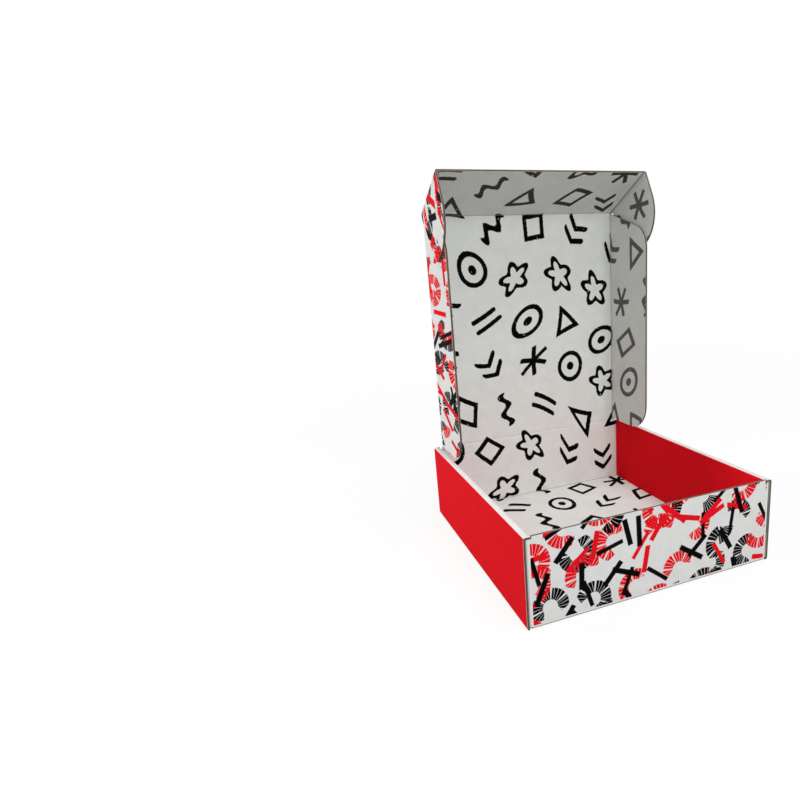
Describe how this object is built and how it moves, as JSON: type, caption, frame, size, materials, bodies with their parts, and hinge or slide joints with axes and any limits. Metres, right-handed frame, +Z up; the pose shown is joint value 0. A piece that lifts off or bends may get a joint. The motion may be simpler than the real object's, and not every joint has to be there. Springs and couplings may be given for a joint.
{
  "type": "corrugated mailer box",
  "caption": "Shallow corrugated mailer folded from one board: open tray with rollover side walls, hinged lid with side wings, and a tuck flap with rounded ears.",
  "frame": {"origin": "Centre of the tray's footprint, on the surface it stands on.", "axes": "+X to the right, +Y to the back wall that the lid hinges on, +Z up; the front wall faces -Y. The lid stands upright at rest."},
  "size_m": [0.2688, 0.2828, 0.4025],
  "materials": {
    "red_and_white_board": "matte",
    "white_board": "matte"
  },
  "bodies": {
    "tray": {"tray": "red_and_white_board"},
    "lid": {"lid": "white_board"},
    "tuck": {"tuck_flap": "white_board"}
  },
  "joints": [
    {"name": "lid_hinge", "type": "hinge", "parent": "tray", "child": "lid", "pos_m": [0, 0.1402, 0.0862], "axis": [-1, 0, 0], "range_deg": [-90, 105]},
    {"name": "tuck_fold", "type": "hinge", "parent": "lid", "child": "tuck", "pos_m": [0, 0.1402, 0.3627], "axis": [-1, 0, 0], "range_deg": [-43.81, 51.11]}
  ],
  "couplings": [
    {"joint": "tuck_fold", "follows": "lid_hinge", "ratio": 0.48667}
  ]
}
